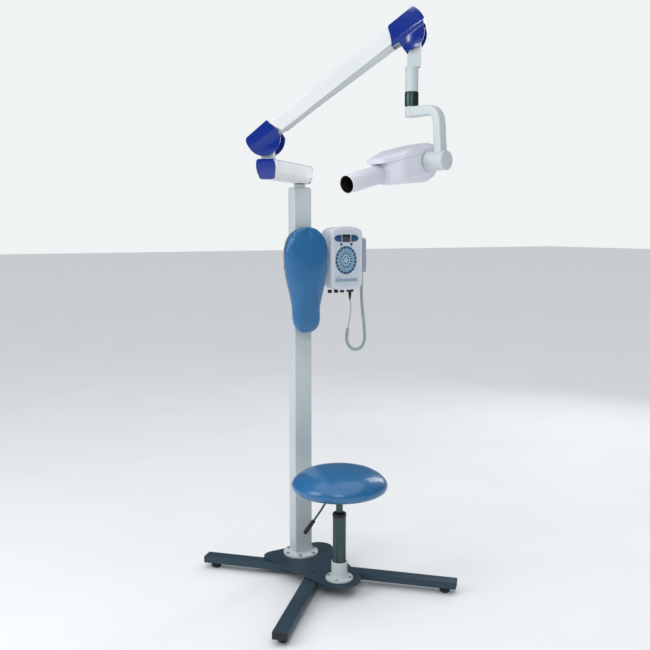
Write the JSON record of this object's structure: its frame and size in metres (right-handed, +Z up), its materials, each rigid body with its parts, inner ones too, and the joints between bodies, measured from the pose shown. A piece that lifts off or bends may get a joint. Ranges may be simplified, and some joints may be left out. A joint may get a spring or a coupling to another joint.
{
  "type": "intraoral x-ray unit",
  "caption": "Floor-standing dental x-ray unit: column on crossed legs with stool and backrest, swivelling arm, spring arm, tilting tube head with beam cone, control box and hand switch.",
  "frame": {"origin": "middle of the bounding box's bottom, on the floor", "axes": "+Z up; the patient sits facing -Y with the column behind; +X is to the right as seen from the front"},
  "size_m": [0.7488, 0.8574, 1.9457],
  "materials": {
    "slate_paint": "satin",
    "white_paint": "satin",
    "white_aluminium": "satin paint",
    "white_plastic": "satin",
    "royal_blue_plastic": "gloss",
    "blue_vinyl": "glossy upholstery vinyl",
    "dark_steel": "satin",
    "bright_steel": "polished",
    "black_plastic": "matt",
    "rubber": "matt",
    "keypad": "satin film",
    "display": "gloss",
    "circuit_board": "matt",
    "board": "raw",
    "cord": "satin",
    "tank": "satin"
  },
  "bodies": {
    "base": {"leg_cross_beam": "slate_paint", "leg_front_left": "slate_paint", "leg_rear_stub": "slate_paint", "foot_left": "rubber", "foot_right": "rubber", "foot_front": "rubber", "foot_rear": "rubber", "base_plate": "slate_paint", "column_flange": "white_paint", "column_tube": "white_paint", "column_pivot": "white_paint", "backrest_board": "board", "backrest_pad": "blue_vinyl", "control_rear_housing": "white_plastic", "control_front_cover": "white_plastic", "control_display": "display", "control_keypad": "keypad", "control_board": "circuit_board", "control_bracket": "white_paint", "fuse_cap_1": "black_plastic", "fuse_cap_2": "black_plastic", "fuse_cap_3": "black_plastic", "cord_strain_relief": "rubber", "cord_lead": "cord", "cord_curl": "cord", "handset": "white_plastic", "stool_socket": "white_paint", "stool_outer_tube": "dark_steel", "stool_tube_collar": "black_plastic"},
    "button_left": {"control_button_left": "keypad"},
    "button_right": {"control_button_right": "keypad"},
    "exposure_button": {"exposure_button": "keypad"},
    "stool_rod": {"stool_gas_rod": "black_plastic"},
    "seat": {"seat_mechanism": "dark_steel", "seat_board": "board", "seat_cushion": "blue_vinyl"},
    "lever": {"lever_rod": "dark_steel", "lever_grip": "black_plastic"},
    "extension": {"extension_tube": "white_aluminium", "extension_front_cap": "royal_blue_plastic", "extension_rear_cap": "royal_blue_plastic", "extension_bush": "black_plastic"},
    "arm_base": {"scissor_base": "white_paint"},
    "spring_arm": {"scissor_cover": "white_aluminium", "scissor_channel": "white_paint", "lower_pivot_pin": "bright_steel", "upper_pivot_pin": "bright_steel", "balance_spring": "dark_steel", "knuckle_cover_lower": "royal_blue_plastic", "knuckle_cover_upper": "royal_blue_plastic"},
    "levelling_rod": {"parallel_rod": "dark_steel"},
    "head_bracket": {"head_bracket": "white_paint"},
    "yoke": {"swivel_ring": "bright_steel", "yoke": "white_paint"},
    "tube_head": {"head_lower_shell": "white_plastic", "head_upper_shell": "white_plastic", "cone_collar": "white_plastic", "beam_cone": "white_plastic", "tilt_shaft": "dark_steel", "tube_tank": "tank"}
  },
  "joints": [
    {"name": "extension_swivel", "type": "hinge", "parent": "base", "child": "extension", "pos_m": [0.00551, 0.23399, 1.45], "axis": [0, 0, 1], "range_deg": [-150, 150]},
    {"name": "arm_swivel", "type": "hinge", "parent": "extension", "child": "arm_base", "pos_m": [-0.21342, 0.03927, 1.5], "axis": [0, 0, 1], "range_deg": [-190, 25]},
    {"name": "arm_lift", "type": "hinge", "parent": "arm_base", "child": "spring_arm", "pos_m": [-0.22011, 0.04573, 1.5604], "axis": [-0.6947, -0.7193, 0], "range_deg": [-38, 16]},
    {"name": "rod_pivot", "type": "hinge", "parent": "arm_base", "child": "levelling_rod", "pos_m": [-0.22011, 0.04573, 1.5774], "axis": [-0.6947, -0.7193, 0], "range_deg": [-38, 16]},
    {"name": "head_level", "type": "hinge", "parent": "spring_arm", "child": "head_bracket", "pos_m": [0.11284, -0.2758, 1.87026], "axis": [-0.6947, -0.7193, 0], "range_deg": [-16, 38]},
    {"name": "yoke_swivel", "type": "hinge", "parent": "head_bracket", "child": "yoke", "pos_m": [0.12363, -0.28622, 1.65], "axis": [0, 0, 1], "range_deg": [-170, 170]},
    {"name": "head_tilt", "type": "hinge", "parent": "yoke", "child": "tube_head", "pos_m": [0.12363, -0.28622, 1.4766], "axis": [0.2672, -0.9636, 0], "range_deg": [-60, 80]},
    {"name": "stool_lift", "type": "slide", "parent": "base", "child": "stool_rod", "axis": [0, 0, 1], "range_m": [-0.035, 0.11]},
    {"name": "seat_swivel", "type": "hinge", "parent": "stool_rod", "child": "seat", "pos_m": [0.00551, -0.04901, 0.33], "axis": [0, 0, 1], "continuous": true},
    {"name": "height_lever", "type": "hinge", "parent": "seat", "child": "lever", "pos_m": [-0.02393, -0.03201, 0.341], "axis": [0.5, 0.866, 0], "range_deg": [0, 8], "stiffness_Nm_per_rad": 2},
    {"name": "left_key", "type": "slide", "parent": "base", "child": "button_left", "axis": [0, 1, 0], "range_m": [0, 0.0015], "stiffness_N_per_m": 400},
    {"name": "right_key", "type": "slide", "parent": "base", "child": "button_right", "axis": [0, 1, 0], "range_m": [0, 0.0015], "stiffness_N_per_m": 400},
    {"name": "exposure_key", "type": "slide", "parent": "base", "child": "exposure_button", "axis": [0, 0, -1], "range_m": [0, 0.003], "stiffness_N_per_m": 400}
  ],
  "couplings": [
    {"joint": "rod_pivot", "follows": "arm_lift", "ratio": 1},
    {"joint": "head_level", "follows": "arm_lift", "ratio": -1}
  ]
}
